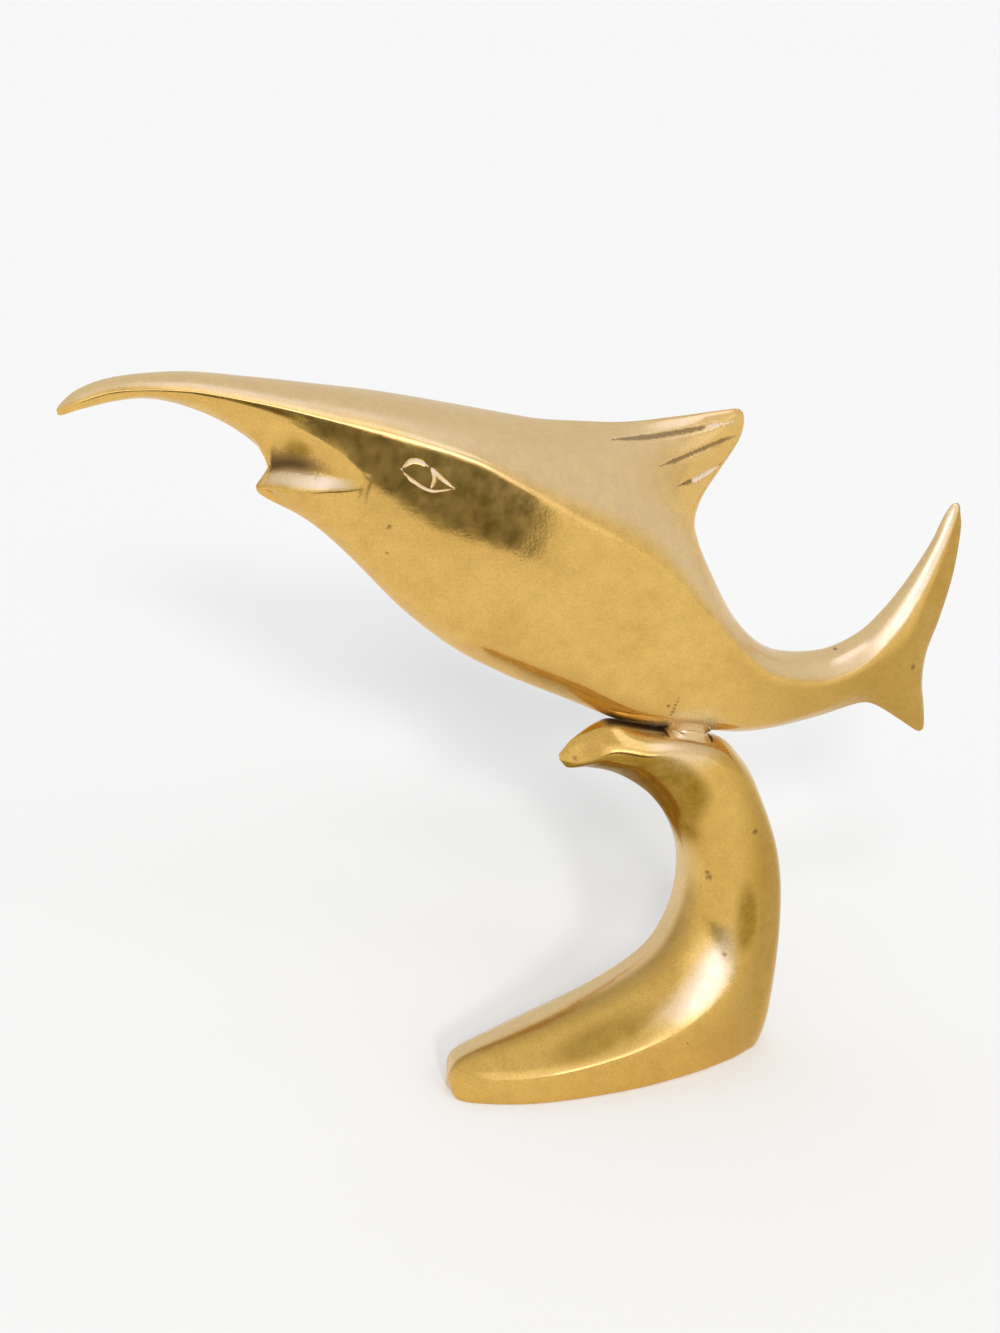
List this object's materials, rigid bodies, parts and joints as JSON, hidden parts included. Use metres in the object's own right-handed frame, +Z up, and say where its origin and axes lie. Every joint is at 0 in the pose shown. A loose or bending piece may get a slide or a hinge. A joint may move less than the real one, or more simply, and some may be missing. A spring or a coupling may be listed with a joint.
{
  "type": "swordfish figurine",
  "caption": "Polished brass swordfish leaping over a curling wave base, with a raised bill, swept dorsal fin and forked tail.",
  "frame": {"origin": "on the floor, under the middle of the whole figure", "axes": "+X from the bill to the tail, +Y across the fish, +Z up; the fish and the wave are symmetric about Y = 0"},
  "size_m": [0.3136, 0.0434, 0.2655],
  "materials": {
    "fish_brass": "polished by hand, softly worn",
    "wave_brass": "polished by hand, softly worn",
    "braze": "satin, a little darker than the castings",
    "stud_steel": "turned, hidden inside"
  },
  "bodies": {
    "root": {"swordfish_casting": "fish_brass", "wave_casting": "wave_brass", "braze_bead": "braze", "joining_stud": "stud_steel"}
  },
  "joints": []
}
